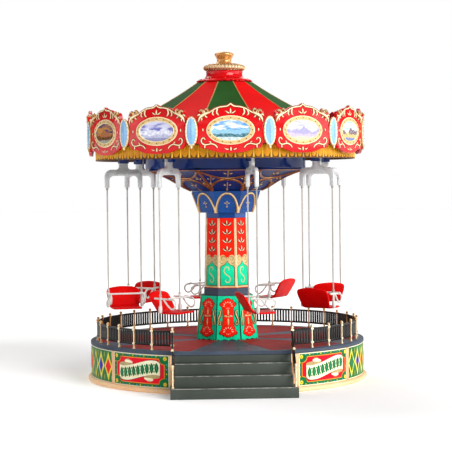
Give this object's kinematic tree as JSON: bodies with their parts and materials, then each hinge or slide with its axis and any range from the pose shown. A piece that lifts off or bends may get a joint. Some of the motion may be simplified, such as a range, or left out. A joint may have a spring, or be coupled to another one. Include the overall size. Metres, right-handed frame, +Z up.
{
  "type": "chair swing ride model",
  "caption": "Tabletop chair swing ride: a round fenced base with steps, an eight-sided column, and a turning striped canopy with seats hung on wires.",
  "frame": {"origin": "centre of the base's underside, on the ride's upright axis", "axes": "+Z up along the axis the canopy turns on, -Y towards the steps"},
  "size_m": [0.257, 0.2793, 0.3],
  "materials": {
    "base_paint": "tan paint with a lighter edge",
    "deck_paint": "slate and maroon wedges",
    "sign_paint": "green border, red field and cream ribbon",
    "diamond_paint": "green with yellow, blue and red diamonds",
    "step_paint": "dark grey-green",
    "fence_paint": "black rails and gold posts",
    "board_paint": "turquoise with red and cream ornament",
    "collar_paint": "slate",
    "shaft_paint": "red with cream leaves and turquoise panels",
    "capital_paint": "royal blue with bronze arches",
    "valance_paint": "amber gold pleats",
    "roof_paint": "red and green stripes",
    "crown_paint": "red with gold scrollwork and blue ovals",
    "cap_paint": "red with nail dots",
    "gold_paint": "gold paint",
    "fork_paint": "off-white silver",
    "frame_paint": "white",
    "seat_plastic": "glossy red"
  },
  "bodies": {
    "base": {"base_drum": "base_paint", "deck": "deck_paint", "sign_panel_left": "sign_paint", "sign_panel_right": "sign_paint", "side_band_left": "diamond_paint", "side_band_right": "diamond_paint", "steps": "step_paint", "fence_right_front": "fence_paint", "fence_right_back": "fence_paint", "fence_back": "fence_paint", "fence_left_back": "fence_paint", "fence_left_front": "fence_paint", "step_rail_left": "fence_paint", "step_rail_right": "fence_paint", "column_skirt": "board_paint", "column_collar": "collar_paint", "column_shaft": "shaft_paint", "capital_lower": "capital_paint", "capital_upper": "capital_paint"},
    "rotor": {"swing_drum": "capital_paint", "valance": "valance_paint", "roof": "roof_paint", "roof_cap": "cap_paint", "rope_ring": "gold_paint", "finial": "gold_paint", "crown_front": "crown_paint", "crown_right": "crown_paint", "crown_back": "crown_paint", "crown_left": "crown_paint"},
    "swing_1": {"fork_1": "fork_paint", "seat_frame_1": "frame_paint", "seat_1": "seat_plastic"},
    "swing_2": {"fork_2": "fork_paint", "seat_frame_2": "frame_paint", "seat_2": "seat_plastic"},
    "swing_3": {"fork_3": "fork_paint", "seat_frame_3": "frame_paint", "seat_3": "seat_plastic"},
    "swing_4": {"fork_4": "fork_paint", "seat_frame_4": "frame_paint", "seat_4": "seat_plastic"},
    "swing_5": {"fork_5": "fork_paint", "seat_frame_5": "frame_paint", "seat_5": "seat_plastic"},
    "swing_6": {"fork_6": "fork_paint", "seat_frame_6": "frame_paint", "seat_6": "seat_plastic"},
    "swing_7": {"fork_7": "fork_paint", "seat_frame_7": "frame_paint", "seat_7": "seat_plastic"},
    "swing_8": {"fork_8": "fork_paint", "seat_frame_8": "frame_paint", "seat_8": "seat_plastic"}
  },
  "joints": [
    {"name": "rotor_spin", "type": "hinge", "parent": "base", "child": "rotor", "pos_m": [0, 0, 0.2], "axis": [0, 0, 1], "continuous": true},
    {"name": "swing_hinge_1", "type": "hinge", "parent": "rotor", "child": "swing_1", "pos_m": [0.01925, -0.09344, 0.2015], "axis": [-0.9794, -0.2018, 0], "range_deg": [-10, 30]},
    {"name": "swing_hinge_2", "type": "hinge", "parent": "rotor", "child": "swing_2", "pos_m": [0.07968, -0.05246, 0.2015], "axis": [-0.5499, -0.8352, 0], "range_deg": [-10, 30]},
    {"name": "swing_hinge_3", "type": "hinge", "parent": "rotor", "child": "swing_3", "pos_m": [0.09344, 0.01925, 0.2015], "axis": [0.2018, -0.9794, 0], "range_deg": [-10, 30]},
    {"name": "swing_hinge_4", "type": "hinge", "parent": "rotor", "child": "swing_4", "pos_m": [0.05246, 0.07968, 0.2015], "axis": [0.8352, -0.5499, 0], "range_deg": [-10, 30]},
    {"name": "swing_hinge_5", "type": "hinge", "parent": "rotor", "child": "swing_5", "pos_m": [-0.01925, 0.09344, 0.2015], "axis": [0.9794, 0.2018, 0], "range_deg": [-10, 30]},
    {"name": "swing_hinge_6", "type": "hinge", "parent": "rotor", "child": "swing_6", "pos_m": [-0.07968, 0.05246, 0.2015], "axis": [0.5499, 0.8352, 0], "range_deg": [-10, 30]},
    {"name": "swing_hinge_7", "type": "hinge", "parent": "rotor", "child": "swing_7", "pos_m": [-0.09344, -0.01925, 0.2015], "axis": [-0.2018, 0.9794, 0], "range_deg": [-10, 30]},
    {"name": "swing_hinge_8", "type": "hinge", "parent": "rotor", "child": "swing_8", "pos_m": [-0.05246, -0.07968, 0.2015], "axis": [-0.8352, 0.5499, 0], "range_deg": [-10, 30]}
  ]
}
